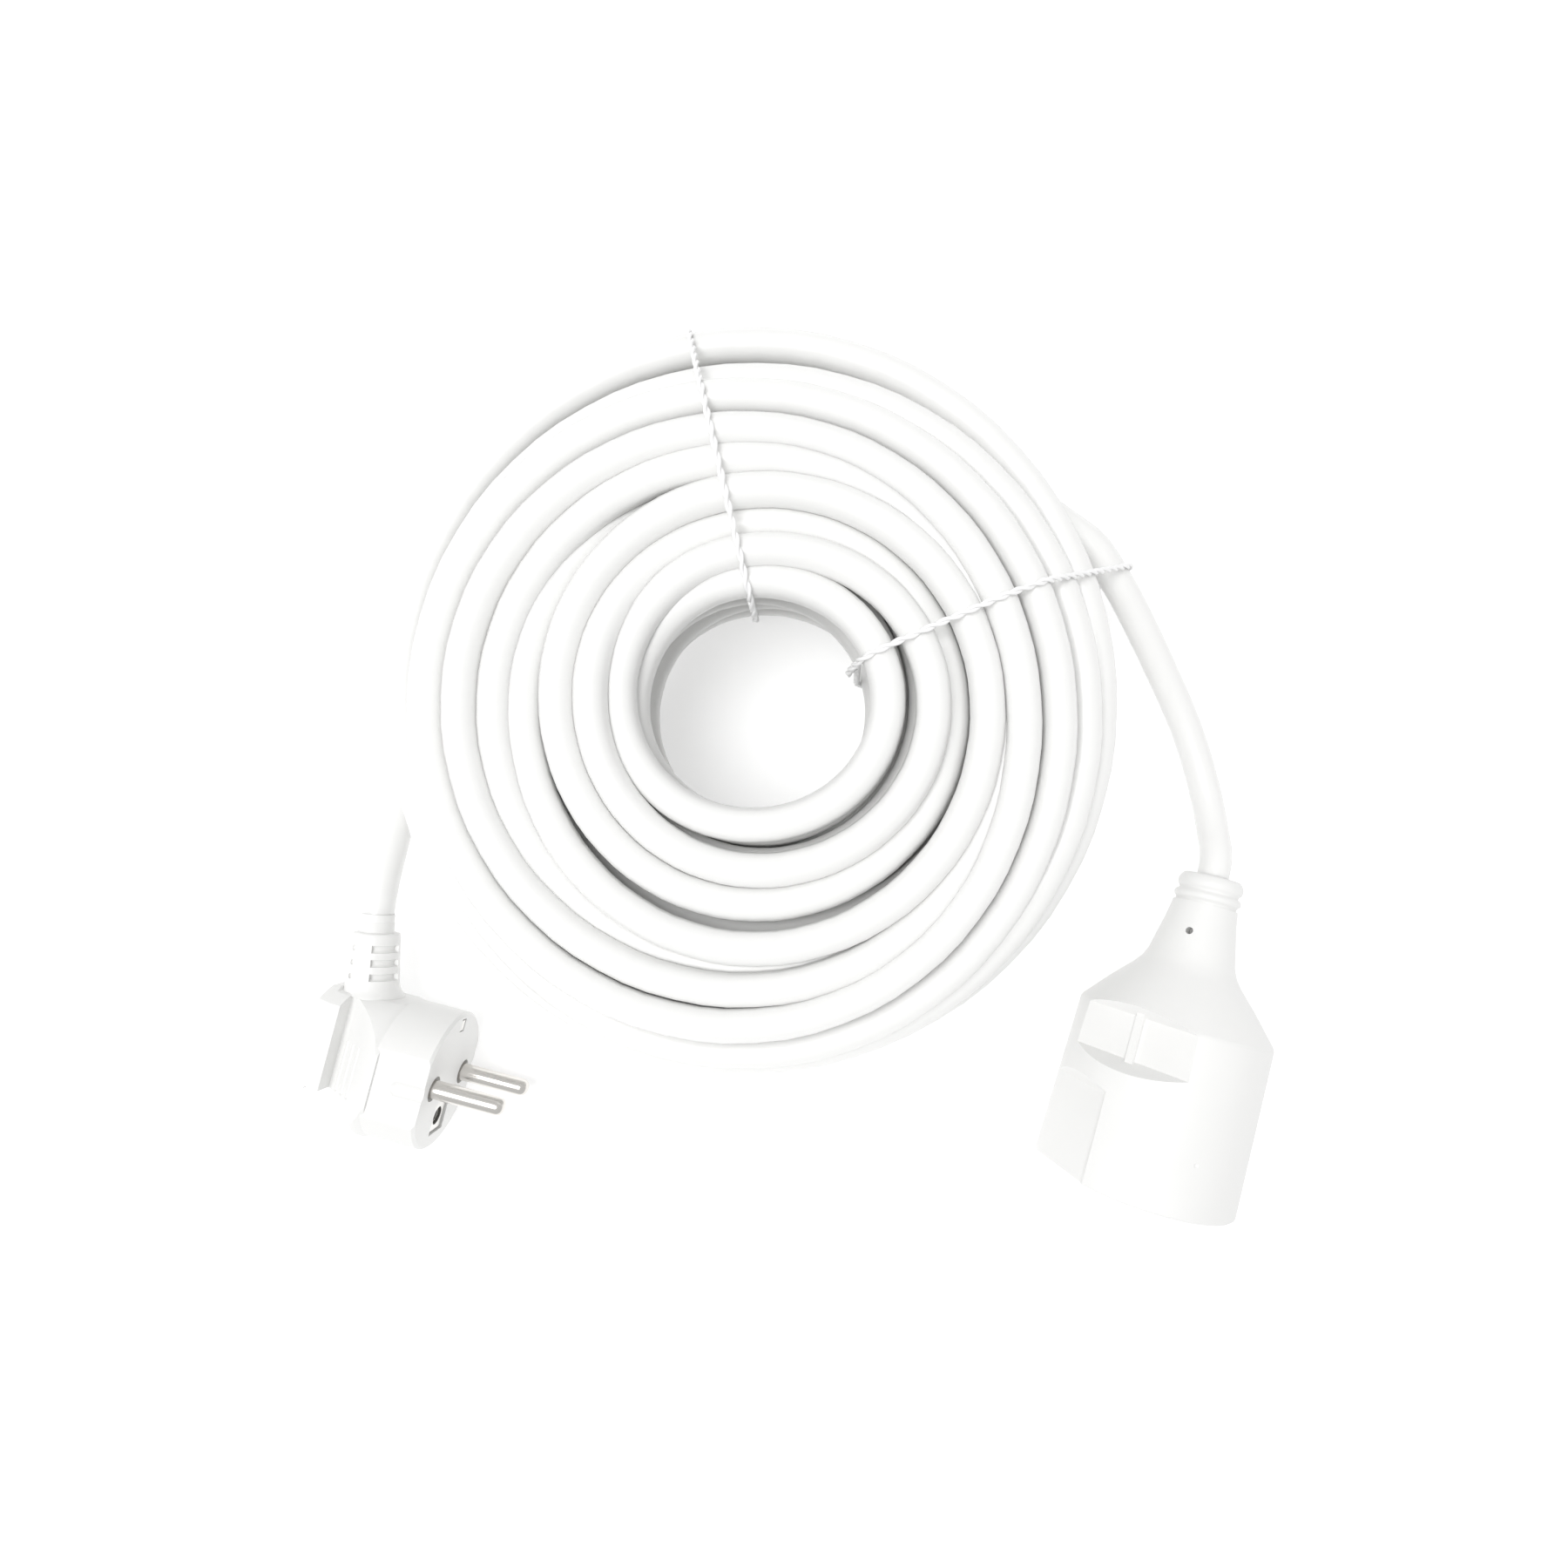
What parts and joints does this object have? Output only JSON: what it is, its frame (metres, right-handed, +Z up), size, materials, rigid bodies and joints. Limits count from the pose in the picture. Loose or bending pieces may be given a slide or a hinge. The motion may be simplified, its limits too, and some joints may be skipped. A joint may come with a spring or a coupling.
{
  "type": "extension cord",
  "caption": "Earthed extension cord: an angled plug, a round cord wound in a tied coil and an in-line socket with a sprung shutter.",
  "frame": {"origin": "middle of the object's footprint, on the surface it lies on", "axes": "+X the way the plug's pins point, +Y the way the cord leaves the plug, +Z up; the socket looks along -Y"},
  "size_m": [0.2464, 0.2238, 0.0672],
  "materials": {
    "body_pvc": "white soft PVC, satin moulded surface",
    "cord_pvc": "white PVC sheath, smooth with a soft gloss",
    "hard_plastic": "off-white rigid plastic",
    "shutter_plastic": "pale grey rigid plastic",
    "pin_nickel": "nickel-plated brass, polished",
    "earth_nickel": "nickel-plated strip, satin",
    "brass": "plain brass",
    "spring_steel": "bright spring wire",
    "tie_plastic": "white plastic-covered wire",
    "core_brown": "brown core insulation",
    "core_blue": "blue core insulation",
    "core_green_yellow": "green core insulation with a yellow stripe"
  },
  "bodies": {
    "root": {"plug_body": "body_pvc", "plug_insert": "hard_plastic", "plug_earth_strip": "earth_nickel", "plug_earth_sleeve": "earth_nickel", "plug_strain_relief": "body_pvc", "plug_cord_end": "cord_pvc", "plug_line_pin": "pin_nickel", "plug_line_crimp": "brass", "plug_line_core": "core_brown", "plug_neutral_pin": "pin_nickel", "plug_neutral_crimp": "brass", "plug_neutral_core": "core_blue", "plug_earth_crimp": "brass", "plug_earth_core": "core_green_yellow", "socket_body": "body_pvc", "socket_insert": "hard_plastic", "socket_contact_base": "hard_plastic", "socket_earth_bracket": "earth_nickel", "shutter_spring": "spring_steel", "socket_strain_relief": "body_pvc", "socket_cord_end": "cord_pvc", "socket_line_contact": "brass", "socket_line_crimp": "brass", "socket_line_core": "core_brown", "socket_neutral_contact": "brass", "socket_neutral_crimp": "brass", "socket_neutral_core": "core_blue", "socket_earth_crimp": "brass", "socket_earth_core": "core_green_yellow", "cord_coil": "cord_pvc", "cord_plug_lead": "cord_pvc", "cord_socket_lead": "cord_pvc", "tie_top": "tie_plastic", "tie_right": "tie_plastic"},
    "shutter": {"socket_shutter": "shutter_plastic"}
  },
  "joints": [
    {"name": "shutter_slide", "type": "slide", "parent": "root", "child": "shutter", "axis": [0, 0, -1], "range_m": [0, 0.006], "stiffness_N_per_m": 150, "springref_m": -0.002, "deforming": ["shutter_spring"]}
  ]
}
